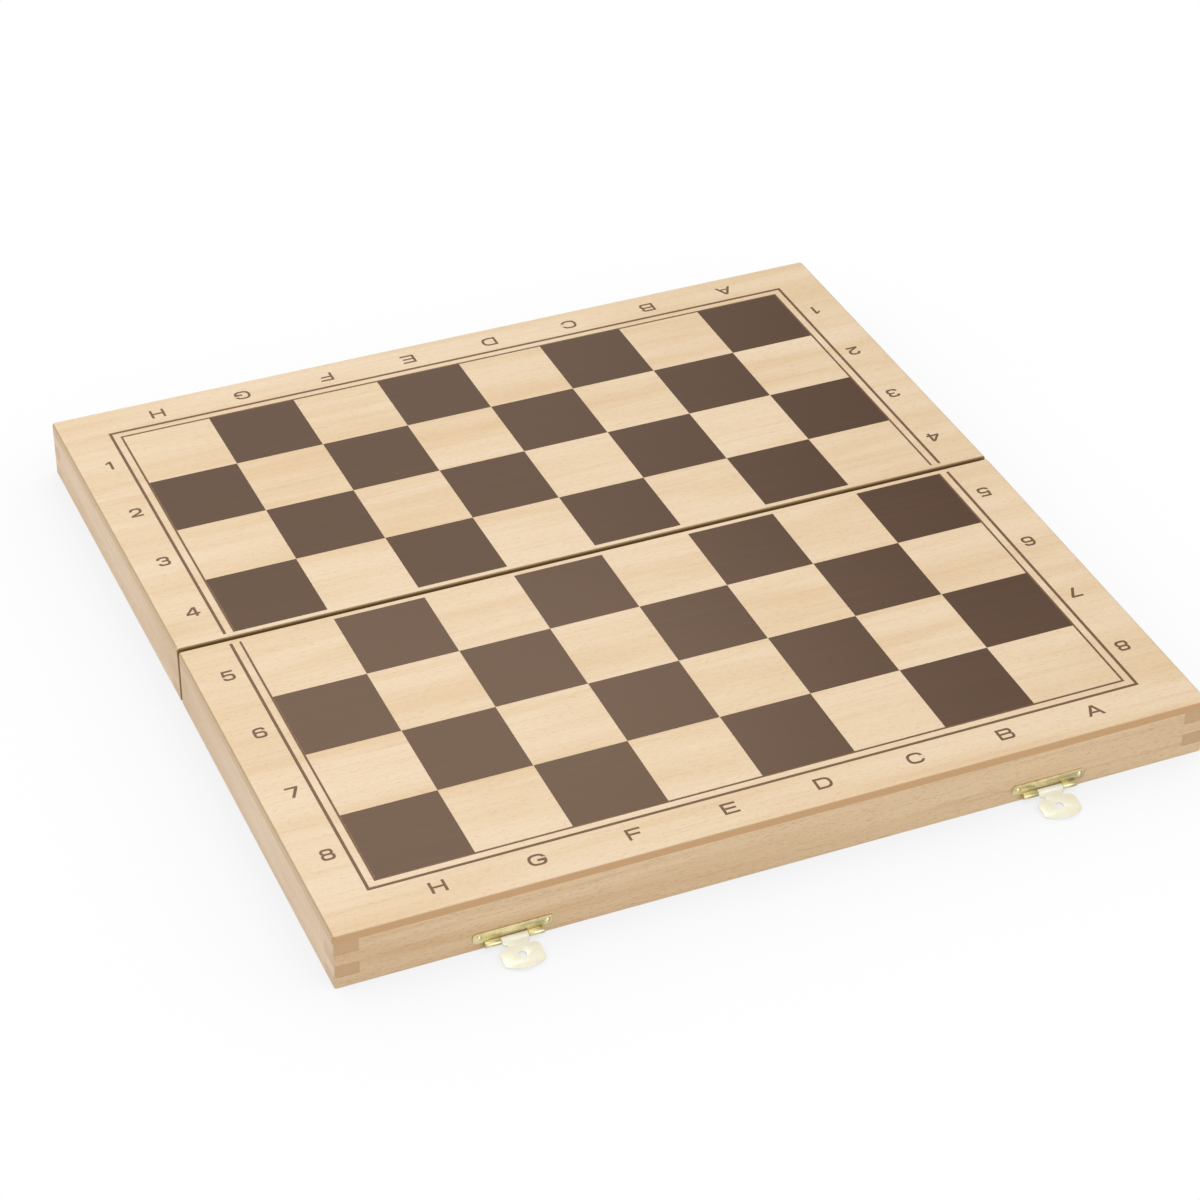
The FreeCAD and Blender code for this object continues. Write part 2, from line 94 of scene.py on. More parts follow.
class Wire:
    # a socket of a node tree: sums of wires and numbers become Math nodes
    def __init__(self, tree, socket=None):
        self.tree = tree
        self.socket = socket

    def node(self, kind, settings=None, inputs=None, output=0):
        made = self.tree.nodes.new("ShaderNode" + kind)
        for name, value in (settings or {}).items():
            setattr(made, name, value)
        for key, value in (inputs or {}).items():
            if isinstance(value, Wire):
                self.tree.links.new(value.socket, made.inputs[key])
            else:
                made.inputs[key].default_value = value
        return Wire(self.tree, made.outputs[output] if len(made.outputs) else None)

    def calc(self, operation, first, second=0.0):
        return self.node("Math", {"operation": operation}, {0: first, 1: second})

    def __add__(self, other):
        return self.calc("ADD", self, other)

    def __sub__(self, other):
        return self.calc("SUBTRACT", self, other)

    def __rsub__(self, other):
        return self.calc("SUBTRACT", other, self)

    def __mul__(self, other):
        return self.calc("MULTIPLY", self, other)

    def __truediv__(self, other):
        return self.calc("DIVIDE", self, other)

    def __abs__(self):
        return self.calc("ABSOLUTE", self)

    def atLeast(self, other):
        return self.calc("MAXIMUM", self, other)

    def part(self):  # what is left over a whole number
        return self.calc("FRACT", self)

    def rising(self, low, high):  # 0 below low, 1 above high, smooth between
        values = {"Value": self, "From Min": low, "From Max": high}
        return self.node("MapRange", {"interpolation_type": "SMOOTHSTEP"}, values)

    def blend(self, share, first, second):  # colour: the first at share 0, the second at share 1
        return self.node("Mix", {"data_type": "RGBA"}, {0: share, 6: first, 7: second}, 2)  # its colour sockets

    def stretched(self, sizes, shift=(0.0, 0.0, 0.0)):  # space in which each given length is one unit
        scale = tuple(1 / size for size in sizes)
        return self.node("Mapping", None, {"Vector": self, "Scale": scale, "Location": shift})

    def noise(self, detail=2.0, rough=0.5, warp=0.0):
        values = {"Vector": self, "Scale": 1.0, "Detail": detail, "Roughness": rough, "Distortion": warp}
        return self.node("TexNoise", None, values)

    def axes(self):
        outputs = self.node("SeparateXYZ", None, {0: self}).socket.node.outputs
        return [Wire(self.tree, output) for output in outputs]

    def bump(self, depth):  # the wire is the height, as a share of the depth
        return self.node("Bump", None, {"Height": self, "Distance": depth, "Strength": 1.0})


def newMaterial(name, half):
    # its place is the object's own, turned back about the hinge line to where the half lies flat
    material = bpy.data.materials.new(name)
    material.use_nodes = True
    material.node_tree.nodes.clear()
    place = Wire(material.node_tree).node("TexCoord", None, None, "Object")
    angle = -settle[half]
    shift = tuple(turned([(0, 0, 0)], angle)[0])
    flat = {"Vector": place, "Rotation": (angle, 0, 0), "Location": shift}
    return material, place.node("Mapping", None, flat)


def setSurface(material, inputs):
    start = Wire(material.node_tree)
    shader = start.node("BsdfPrincipled", None, inputs)
    start.node("OutputMaterial", None, {"Surface": shader})


def dress(names, material):
    for name in names:
        mesh = nodes[name].data
        mesh.materials.clear()
        mesh.materials.append(material)


def alongGrain(axis, along, across):  # pattern lengths, long on the grain's axis
    return tuple(along if i == axis else across for i in range(3))


# beech, long grain along one axis
beechLook = {
    "broad": (190 * mm, 17 * mm),  # slow change of tone: length along the grain, width across it
    "streak": (75 * mm, 1.9 * mm),
    "hair": (14 * mm, 0.34 * mm),
    "fleck": (2.3 * mm, 0.36 * mm),  # the short dark dashes that mark beech
    "pore": (1.1 * mm, 0.13 * mm),
    "poreDepth": 0.03 * mm,
    "layerRough": 0.55,
    "ranges": {"broad": (0.3, 0.72), "streak": (0.46, 0.78), "hair": (0.5, 0.8), "fleck": (0.57, 0.71)},
}


def beechGrain(place, axis, shift, look, tones):
    # colour = pale to deep by slow noise, then streaks, hair lines and ray flecks laid over it;
    # all are noise stretched along the grain, so the cut ends show them as dots
    def layer(key, detail, warp=0.0):
        return place.stretched(alongGrain(axis, *look[key]), shift).noise(detail, look["layerRough"], warp)

    broad = layer("broad", 3.0, 0.4)
    streak = layer("streak", 3.0, 0.7)
    hair = layer("hair", 2.0, 0.3)
    ranges = look["ranges"]  # noise at which each layer begins to show, and shows in full
    fleck = layer("fleck", 1.0).rising(*ranges["fleck"])
    pore = layer("pore", 1.0)
    colour = place.blend(broad.rising(*ranges["broad"]), tones["pale"], tones["deep"])
    colour = place.blend(streak.rising(*ranges["streak"]) * tones["streakShare"], colour, tones["streak"])
    colour = place.blend(hair.rising(*ranges["hair"]) * tones["hairShare"], colour, tones["streak"])
    colour = place.blend(fleck * tones["fleckShare"], colour, tones["fleck"])
    height = pore * 0.5 + hair * 0.3 + streak * 0.2 - fleck * 0.25
    return colour, height, streak


jointLook = {
    "fingers": 4,  # rows up a corner
    "line": (0.02 * mm, 0.2 * mm),  # from the joint: where its line is full, and where it is gone
    "cornerBlur": 0.05 * mm,
    "endFace": (0.8 * mm, 0.15 * mm),  # below the wall's end: where end grain begins, and is full
}


def jointLines(place, axis, middle, ownRow):
    # dark hair line round each finger: near a row's edge in the corner zone, and at the
    # shoulder in the rows that belong to the other wall
    x, y, z = place.axes()
    reach = abs((x, y)[axis] - middle)
    half = (boardHalf, halfTray)[axis]
    shoulder = half - wallThick
    finger = (panelFoot - rimZ) / jointLook["fingers"]
    row = (panelFoot - z) / finger
    rowEdge = abs((row + 0.5).part() - 0.5) * finger
    inCorner = reach.rising(shoulder - jointLook["cornerBlur"], shoulder + jointLook["cornerBlur"])
    phase = 0.25 if ownRow else 0.75  # in a cycle of two rows
    otherRow = abs((row / 2 + phase).part() - 0.5).rising(0.24, 0.26)
    levelLine = (1 - rowEdge.rising(*jointLook["line"])) * inCorner
    shoulderLine = (1 - abs(reach - shoulder).rising(*jointLook["line"])) * otherRow
    begin, full = jointLook["endFace"]
    return levelLine.atLeast(shoulderLine), reach.rising(half - begin, half - full)


seamShadeTone = tone(142, 110, 62)  # painted shade on what faces the seam, standing in for the shadow in the gap between the halves
seamShadeBlur = 0.35 * mm


def seamShadeZone(place):  # 1 on the faces and eased edges beside the seam, where the painted seam shade goes
    return 1 - abs(place.axes()[1] - seamY).rising(seamEdge, seamEdge + seamShadeBlur)


wallLook = {
    "longTones": {
        "pale": tone(232, 204, 166), "deep": tone(217, 182, 140), "streak": tone(200, 158, 114),
        "fleck": tone(168, 122, 84), "streakShare": 0.4, "hairShare": 0.28, "fleckShare": 0.36,
    },
    # painted light: the left and right walls get paler beech than the front and back walls, for the stronger light
    # on the left
    "sidePaintedLightTones": {
        "pale": tone(240, 214, 182), "deep": tone(227, 196, 160), "streak": tone(210, 172, 132),
        "fleck": tone(178, 134, 96), "streakShare": 0.36, "hairShare": 0.26, "fleckShare": 0.32,
    },
    "longEnd": (tone(232, 204, 170), tone(217, 184, 148)),  # end grain that shows on the left and right
    "sideEnd": (tone(214, 179, 140), tone(195, 158, 118)),  # and at the front and back
    "rings": 1.3 * mm,
    "dots": 0.3 * mm,
    "jointTone": tone(112, 76, 50),
    "jointShare": 0.3,
    "seamShadeShare": 0.8,
    "roughness": (0.36, 0.5),
    "endRough": 0.12,  # how much rougher end grain is
    "specular": 0.45,
}


def wallMaterial(name, half, axis, middle, shift):
    # solid wall: beech along its length, darker end grain where its fingers reach the corner
    material, place = newMaterial(name, half)
    look = wallLook
    # the left and right walls take the paler tones, which are painted light
    tones, endTones = (("longTones", "longEnd"), ("sidePaintedLightTones", "sideEnd"))[axis]
    colour, height, streak = beechGrain(place, axis, shift, beechLook, look[tones])
    line, ends = jointLines(place, axis, middle, ownRow=axis == 1)
    rings = place.stretched((look["rings"],) * 3, shift).noise(2.0, 0.6, 0.5)
    dots = place.stretched((look["dots"],) * 3, shift).noise(1.0)
    endColour = place.blend(rings * 0.6 + dots * 0.4, *look[endTones])
    colour = place.blend(ends, colour, endColour)
    colour = place.blend(line * look["jointShare"], colour, look["jointTone"])
    # painted shade: the wall's faces beside the seam are darkened, for the shadow in the gap
    colour = place.blend(seamShadeZone(place) * look["seamShadeShare"], colour, seamShadeTone)
    low, high = look["roughness"]
    relief = (height - line * 0.8).bump(beechLook["poreDepth"])
    setSurface(material, {
        "Base Color": colour, "Roughness": streak * (high - low) + low + ends * look["endRough"],
        "Normal": relief, "Specular IOR Level": look["specular"],
    })
    return material


panelLook = {
    "tones": {
        "pale": tone(243, 220, 188), "deep": tone(234, 204, 164), "streak": tone(222, 186, 142),
        "fleck": tone(202, 160, 114), "streakShare": 0.34, "hairShare": 0.22, "fleckShare": 0.34,
    },
    "veneer": 0.65 * mm,
    "veneerBlur": 0.25 * mm,
    "glueLine": (0.03 * mm, 0.14 * mm),  # from a glue line: where it is full, and where it is gone
    "edgeZone": (1.3 * mm, 0.8 * mm),  # inside the panel's edge: where the cut edge begins, and is full
    "cutTop": (0.06 * mm, 0.3 * mm),  # below the top: where the veneer's cut end begins, and is full
    "cutFoot": (0.02 * mm, 0.005 * mm),  # above the underside: where it ends
    "coreFoot": (0.12 * mm, 0.02 * mm),  # and where the core ends
    "coreGrain": (0.5 * mm, 3.0 * mm, 0.5 * mm),
    "coreSide": (tone(226, 199, 160), tone(208, 176, 134)),  # core along its grain, on the left and right
    "coreEnd": (tone(217, 175, 127), tone(195, 153, 106)),  # core end grain, at the front, back and seam
    "veneerEnd": tone(160, 124, 74),
    "veneerEndShare": 0.6,
    "glueTone": tone(126, 94, 54),
    "glueShares": (0.2, 0.25),  # everywhere, and added on the left and right
    "seamShadeShare": 0.85,
    "roughness": (0.27, 0.36),
    "coreRough": 0.15,  # how much rougher the core is
    "reliefShare": 0.6,  # of the depth of the walls' pores
    "specular": 0.5,
}


def panelMaterial(name, half, middle, shift):
    # ply sheet: depth below the top picks face veneer, or the cross-grained core down to the underside
    material, place = newMaterial(name, half)
    look = panelLook
    faceColour, height, streak = beechGrain(place, 0, shift, beechLook, look["tones"])
    x, y, z = place.axes()
    depth = topZ - z
    thick = topZ - panelFoot
    veneerFoot, blur = look["veneer"], look["veneerBlur"]

    def aboveFoot(zone):  # 1 until the first distance above the underside, 0 from the second
        return 1 - depth.rising(thick - zone[0], thick - zone[1])

    inCore = depth.rising(veneerFoot - blur, veneerFoot + blur) * aboveFoot(look["coreFoot"])
    glue = 1 - abs(depth - veneerFoot).rising(*look["glueLine"])
    glue = glue.atLeast(1 - abs(depth - thick).rising(*look["glueLine"]))
    begin, full = look["edgeZone"]
    atEnds = abs(y - middle).rising(halfTray - begin, halfTray - full)
    atSides = abs(x).rising(boardHalf - begin, boardHalf - full) * (1 - atEnds)
    cut = depth.rising(*look["cutTop"]) * aboveFoot(look["cutFoot"])
    grains = place.stretched(look["coreGrain"], shift).noise(2.0, 0.6)
    coreSide, coreEnd = [place.blend(grains, *look[key]) for key in ("coreSide", "coreEnd")]
    core = place.blend(atEnds, coreSide, coreEnd)
    veneer = place.blend(atSides * cut * look["veneerEndShare"], faceColour, look["veneerEnd"])
    colour = place.blend(inCore, veneer, core)
    everywhere, added = look["glueShares"]
    colour = place.blend(glue * (atSides * added + everywhere), colour, look["glueTone"])
    # painted shade: the panel's faces and eased edges beside the seam are darkened, for the shadow in the gap
    colour = place.blend(seamShadeZone(place) * look["seamShadeShare"], colour, seamShadeTone)
    low, high = look["roughness"]
    relief = (height + grains * inCore).bump(beechLook["poreDepth"] * look["reliefShare"])
    setSurface(material, {
        "Base Color": colour, "Roughness": streak * (high - low) + low + inCore * look["coreRough"],
        "Normal": relief, "Specular IOR Level": look["specular"],
    })
    return material


printLook = {
    "lacquer": (tone(66, 38, 22), tone(74, 44, 26)),  # squares: flat tone and the grain that shows in it
    "lacquerRoughness": (0.07, 0.13),
    "ink": (tone(90, 58, 35), tone(116, 80, 50)),  # lines and letters
    "inkRoughness": (0.3, 0.42),
    "orangePeel": 5.0 * mm,
    "streakRange": (0.4, 0.75),
    "relief": 0.012 * mm,
    "gloss": (2.15, (1.0, 0.78, 0.59, 1)),  # index of refraction and tint of the sheen
}


def printMaterial(name, half, tones, roughness, shift):
    # brown print over the grain: the wood's streaks show through as tone, gloss and faint relief
    material, place = newMaterial(name, half)
    streak, pore = [place.stretched(alongGrain(0, *beechLook[key]), shift) for key in ("streak", "pore")]
    streak = streak.noise(3.0, beechLook["layerRough"], 0.7)
    pore = pore.noise(1.0)
    peel = place.stretched((printLook["orangePeel"],) * 3, shift).noise(1.0)
    colour = place.blend(streak.rising(*printLook["streakRange"]) * 0.7 + pore * 0.3, *tones)
    low, high = roughness
    relief = (peel * 0.6 + streak * 0.3 + pore * 0.1).bump(printLook["relief"])
    index, sheen = printLook["gloss"]
    setSurface(material, {
        "Base Color": colour, "Roughness": pore * (high - low) + low, "Normal": relief, "IOR": index,
        "Specular Tint": sheen,
    })
    return material


brassLook = {
    "kinds": {  # bright and dull plating, least and most roughness, and how much of it acts as metal; the tongue's row is a painted highlight
        "clasp": (tone(232, 223, 182), tone(196, 180, 122), 0.26, 0.42, 0.9),
        # painted highlight: the tongue's brass is drawn near white with little metal, for the glare it reflects
        "tongue": (tone(255, 255, 238), tone(253, 252, 226), 0.34, 0.46, 0.1),
        "hinge": (tone(232, 216, 164), tone(190, 164, 104), 0.16, 0.34, 1.0),
        "fastener": (tone(236, 224, 178), tone(196, 174, 120), 0.2, 0.36, 0.9),
    },
    "cloud": 4.0 * mm,
    "cloudRange": (0.42, 0.72),
    "grit": 0.5 * mm,
    "gritRange": (0.55, 0.8),
    "scratch": (3.0 * mm, 0.05 * mm),
    "scratchRough": 0.05,
    "relief": 0.006 * mm,
}


def brassMaterial(name, bright, dim, low, high, metal):
    # plated sheet: cloudy tarnish over bright brass, with fine rolling scratches along x
    material, place = newMaterial(name, "front")
    look = brassLook
    cloud = place.stretched((look["cloud"],) * 3).noise(3.0, 0.6, 0.5)
    grit = place.stretched((look["grit"],) * 3).noise(2.0)
    scratch = place.stretched(alongGrain(0, *look["scratch"])).noise(1.0)
    dull = cloud.rising(*look["cloudRange"]) * 0.7 + grit.rising(*look["gritRange"]) * 0.25
    relief = (scratch * 0.6 + grit * 0.4).bump(look["relief"])
    setSurface(material, {
        "Base Color": place.blend(dull, bright, dim), "Metallic": metal,
        "Roughness": dull * (high - low) + low + scratch * look["scratchRough"], "Normal": relief,
    })
    return material


def dressWood():
    long = {"outer_wall": 0.13, "seam_wall": 0.41}
    for half, middle in trayMiddle.items():
        number = 1 if half == "front" else 2
        shift = (0.37 * number, 3.1 * number, 0.7)
        dress([half + "_panel"], panelMaterial(half + "_veneer", half, middle, shift))
        for wall, offset in long.items():
            shift = (offset * number, 1.7 * number + offset, 0.3)
            dress([half + "_" + wall], wallMaterial(half + "_" + wall + "_beech", half, 0, 0.0, shift))
        for side, offset in (("left", 0.23), ("right", 0.57)):
            shift = (2.3 * number + offset, offset * number, 0.9)
            name = half + "_" + side + "_wall"
            dress([name], wallMaterial(name + "_beech", half, 1, middle, shift))
    print("wood dressed")


def dressPrint():
    inks = {}
    for half, shift in (("front", (0.1, 5.3, 0.0)), ("back", (0.6, 9.1, 0.0))):
        lacquer, ink = [
            printMaterial(half + "_" + kind, half, printLook[kind], printLook[kind + "Roughness"], shift)
            for kind in ("lacquer", "ink")
        ]
        inks[half] = ink
        dress([half + "_dark_squares"], lacquer)
        dress([half + "_frame_lines"], ink)
    print("print dressed")
    return inks


lettering = {
    "height": 6.2 * mm,
    "film": 0.06 * mm,
    "letterLine": 12.4 * mm,  # edge of the field to the middle of the letters
    "digitLine": 11.5 * mm,
    "roundSteps": 7,  # points on each rounded corner
    "stem": 0.175,  # stroke widths as shares of the height: upright and level
    "bar": 0.16,
}


def wideSigns():
    # wide plain capitals and digits, one unit tall: each sign is its outline and then its holes,
    # and a point is x, y and how far its corner is rounded
    s, t = lettering["stem"], lettering["bar"]
    return {
        "H": [[(0, 0, 0), (s, 0, 0), (s, .42, 0), (1 - s, .42, 0), (1 - s, 0, 0), (1, 0, 0),
               (1, 1, 0), (1 - s, 1, 0), (1 - s, .58, 0), (s, .58, 0), (s, 1, 0), (0, 1, 0)]],
        "G": [[(1.12, .7, 0), (1.12, 1, .5), (0, 1, .5), (0, 0, .5), (1.12, 0, .4), (1.12, .54, 0),
               (.56, .54, 0), (.56, .38, 0), (1.12 - s, .38, 0), (1.12 - s, t, .26), (s, t, .34), (s, 1 - t, .34),
               (1.12 - s, 1 - t, .3), (1.12 - s, .7, 0)]],
        "F": [[(0, 0, 0), (s, 0, 0), (s, .42, 0), (.84, .42, 0), (.84, .58, 0), (s, .58, 0),
               (s, 1 - t, 0), (.96, 1 - t, 0), (.96, 1, 0), (0, 1, 0)]],
        "E": [[(0, 0, 0), (1, 0, 0), (1, t, 0), (s, t, 0), (s, .42, 0), (.9, .42, 0), (.9, .58, 0), (s, .58, 0),
               (s, 1 - t, 0), (.98, 1 - t, 0), (.98, 1, 0), (0, 1, 0)]],
        "D": [[(0, 0, 0), (1.08, 0, .5), (1.08, 1, .5), (0, 1, 0)],
              [(s, t, 0), (1.08 - s, t, .34), (1.08 - s, 1 - t, .34), (s, 1 - t, 0)]],
        "C": [[(1.1, .7, 0), (1.1, 1, .5), (0, 1, .5), (0, 0, .5), (1.1, 0, .5), (1.1, .3, 0), (1.1 - s, .3, 0),
               (1.1 - s, t, .3), (s, t, .34), (s, 1 - t, .34), (1.1 - s, 1 - t, .3), (1.1 - s, .7, 0)]],
        "B": [[(0, 0, 0), (1.04, 0, .28), (1.04, .51, .14), (.89, .53, 0), (1, .55, .1), (1, 1, .26), (0, 1, 0)],
              [(s, t, 0), (1.04 - s, t, .14), (1.04 - s, .45, .12), (s, .45, 0)],
              [(s, .6, 0), (1 - s, .6, .11), (1 - s, 1 - t, .12), (s, 1 - t, 0)]],
        "A": [[(0, 0, 0), (.2, 0, 0), (.31, .24, 0), (.85, .24, 0), (.96, 0, 0), (1.16, 0, 0),
               (.69, 1, 0), (.47, 1, 0)],
              [(.383, .39, 0), (.777, .39, 0), (.58, .81, 0)]],
        "1": [[(.24, 0, 0), (.42, 0, 0), (.42, 1, 0), (.29, 1, 0), (0, .82, 0), (0, .65, 0), (.24, .78, 0)]],
        "2": [[(0, .66, 0), (0, 1, .34), (.84, 1, .34), (.84, .44, .22), (.3, .17, 0), (.84, .17, 0), (.84, 0, 0),
               (0, 0, 0), (0, .17, 0), (.64, .52, .14), (.665, 1 - t, .22), (s, 1 - t, .22), (s, .66, 0)]],
        "3": [[(0, .72, 0), (0, 1, .3), (.82, 1, .3), (.82, .54, .13), (.68, .52, 0), (.84, .5, .15), (.84, 0, .3),
               (0, 0, .3), (0, .28, 0), (s, .28, 0), (s, t, .2), (.84 - s, t, .2), (.84 - s, .45, .14), (.3, .45, 0),
               (.3, .59, 0), (.82 - s, .59, .13), (.82 - s, 1 - t, .2), (s, 1 - t, .2), (s, .72, 0)]],
        "4": [[(.56, 0, 0), (.74, 0, 0), (.74, .2, 0), (.9, .2, 0), (.9, .36, 0), (.74, .36, 0), (.74, 1, 0),
               (.52, 1, 0), (0, .36, 0), (0, .2, 0), (.56, .2, 0)],
              [(.2, .36, 0), (.56, .36, 0), (.56, .79, 0)]],
        "5": [[(.07, 1, 0), (.8, 1, 0), (.8, .84, 0), (.22, .84, 0), (.2, .64, 0), (.84, .64, .3), (.84, 0, .32),
               (0, 0, .32), (0, .27, 0), (s, .27, 0), (s, t, .18), (.84 - s, t, .18), (.84 - s, .49, .18),
               (.2, .49, .05), (.17, .42, 0), (.02, .42, 0)]],
        "6": [[(.82, .75, 0), (.82, 1, .3), (0, 1, .4), (0, 0, .34), (.84, 0, .32), (.84, .62, .3), (s, .62, 0),
               (s, 1 - t, .22), (.82 - s, 1 - t, .16), (.82 - s, .75, 0)],
              [(s, t, .16), (.84 - s, t, .16), (.84 - s, .47, .16), (s, .47, .1)]],
        "7": [[(0, 1, 0), (.82, 1, 0), (.82, .84, 0), (.4, 0, 0), (.2, 0, 0), (.6, .84, 0), (0, .84, 0)]],
        "8": [[(0, 0, .3), (.86, 0, .3), (.86, .505, .16), (.69, .525, 0), (.83, .545, .13), (.83, 1, .28),
               (.03, 1, .28), (.03, .545, .13), (.17, .525, 0), (0, .505, .16)],
              [(s, t, .16), (.86 - s, t, .16), (.86 - s, .45, .14), (s, .45, .14)],
              [(s + .03, .6, .11), (.83 - s, .6, .11), (.83 - s, 1 - t, .12), (s + .03, 1 - t, .12)]],
    }


def roundedLoop(corners):
    # each corner becomes a parabola from reach before it to reach after it: (1-u)^2 A + 2u(1-u) P + u^2 C
    corners = np.array(corners, float)
    points, reach = corners[:, :2], corners[:, 2:]
    back = np.roll(points, 1, 0) - points
    ahead = np.roll(points, -1, 0) - points
    before = points + back * reach / np.linalg.norm(back, axis=1, keepdims=True)
    after = points + ahead * reach / np.linalg.norm(ahead, axis=1, keepdims=True)
    u = np.linspace(0, 1, lettering["roundSteps"])[None, :, None]
    curve = (1 - u) ** 2 * before[:, None] + 2 * u * (1 - u) * points[:, None] + u ** 2 * after[:, None]
    sharp = reach[:, 0] == 0
    keep = np.ones(curve.shape[:2], bool)
    keep[sharp, 1:] = False  # a sharp corner is one point
    return curve[keep]


def settledPiece(name, half, points, faces, material):
    # a closed mesh made flat, turned with its half, faces outward
    mesh = bpy.data.meshes.new(name)
    mesh.from_pydata(turned(points, settle[half]).tolist(), [], faces)
    build = bmesh.new()
    build.from_mesh(mesh)
    bmesh.ops.recalc_face_normals(build, faces=build.faces)
    build.to_mesh(mesh)
    build.free()
    mesh.materials.append(material)
    piece = bpy.data.objects.new(name, mesh)
    bpy.context.scene.collection.objects.link(piece)
    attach(piece, half + "_half")
    return piece


def printSigns(name, half, signs, ink):
    # signs = (sign, x, y, upsideDown): a sign's loops are centred, scaled to the cap height, turned half
    # round where asked and set on the panel as a film, which settles with its half; top and foot are filled
    outlines = wideSigns()
    points, faces = [], []
    count = 0
    for sign, x, y, upsideDown in signs:
        loops = [roundedLoop(corners) for corners in outlines[sign]]
        flat = np.vstack(loops)
        middle = (flat.min(0) + flat.max(0)) / 2
        size = lettering["height"] * (-1 if upsideDown else 1)
        placed = (flat - middle) * size + np.array([x, y])
        number = len(flat)
        points += [np.column_stack([placed, np.full(number, z)]) for z in (topZ, topZ + lettering["film"])]
        fill = np.array(tessellate_polygon([[Vector((*point, 0)) for point in loop] for loop in loops]))
        faces += (fill + count).tolist() + (fill + count + number).tolist()
        begin = count
        for loop in loops:
            ring = np.arange(len(loop)) + begin
            following = np.roll(ring, -1)
            faces += np.column_stack([ring, following, following + number, ring + number]).tolist()
            begin += len(loop)
        count += 2 * number
    settledPiece(name, half, np.vstack(points), faces, ink)


def printBoard(inks):
    letterY = fieldEnd + lettering["letterLine"]
    digitX = fieldHalf + lettering["digitLine"]
    middles = [(i + 0.5 - halfRanks) * squarePitch for i in range(2 * halfRanks)]
    seamBorder = fieldEnd - fieldHalf
    for half, way in (("front", -1), ("back", 1)):
        letters = [(sign, x, seamY + way * letterY, half == "back") for sign, x in zip("HGFEDCBA", middles)]
        printSigns(half + "_letters", half, letters, inks[half])
        digits = "5678" if half == "front" else "4321"
        ranks = [seamY + way * (seamBorder + (i + 0.5) * squarePitch) for i in range(halfRanks)]
        for side, x in (("left", -digitX), ("right", digitX)):
            signs = [(sign, x, y, side == "right") for sign, y in zip(digits, ranks)]
            printSigns(half + "_" + side + "_digits", half, signs, inks[half])
    print("letters and digits printed")


formedEdges = {
    "clasp_plate": ("front_half", "clasp_brass", 0.13 * mm),
    "clasp_tongue": (None, "clasp_brass", 0.16 * mm),  # each tongue is a body of its own
    "catch_plate": ("back_half", "clasp_brass", 0.13 * mm),
}
formLook = {
    "leafEdge": 0.12 * mm,
    "weld": 0.001 * mm,
    "flat": math.radians(0.3),  # faces that turn less than this become one
    "sharp": math.radians(40),  # edges that turn more than this are softened
    "segments": 2,
}


def formed(node, body, edge, material):
    # the solid with its stamped edges softened: a merged copy of its mesh under a small bevel
    mesh = bpy.data.meshes.new(node + "_formed")
    build = bmesh.new()
    build.from_mesh(nodes[node].data)
    bmesh.ops.remove_doubles(build, verts=build.verts, dist=formLook["weld"])
    bmesh.ops.dissolve_limit(build, angle_limit=formLook["flat"], verts=build.verts, edges=build.edges)
    build.to_mesh(mesh)
    build.free()
    mesh.materials.append(material)
    mesh.shade_smooth()
    piece = bpy.data.objects.new(node + "_formed", mesh)
    bpy.context.scene.collection.objects.link(piece)
    bevel = piece.modifiers.new("edge", "BEVEL")
    bevel.width = edge
    bevel.segments = formLook["segments"]
    bevel.limit_method = "ANGLE"
    bevel.angle_limit = formLook["sharp"]
    bevel.loop_slide = False
    bevel.harden_normals = True
    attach(piece, body)
    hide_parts(node)


screwLook = {
    "rows": (0.985, 0.93, 0.8, 0.6, 0.4, 0.16),  # shares of the head's radius; the last is the slot's side
    "slotFoot": 0.85,  # width of the slot's foot, in shares of its mouth
    "slotDepth": 0.45 * mm,
    "across": 9,  # points along each row
    "shankShare": 0.5,  # of the head's radius
    "turns": (0.4, 1.3, 2.2, 0.9),  # way that each slot points
}


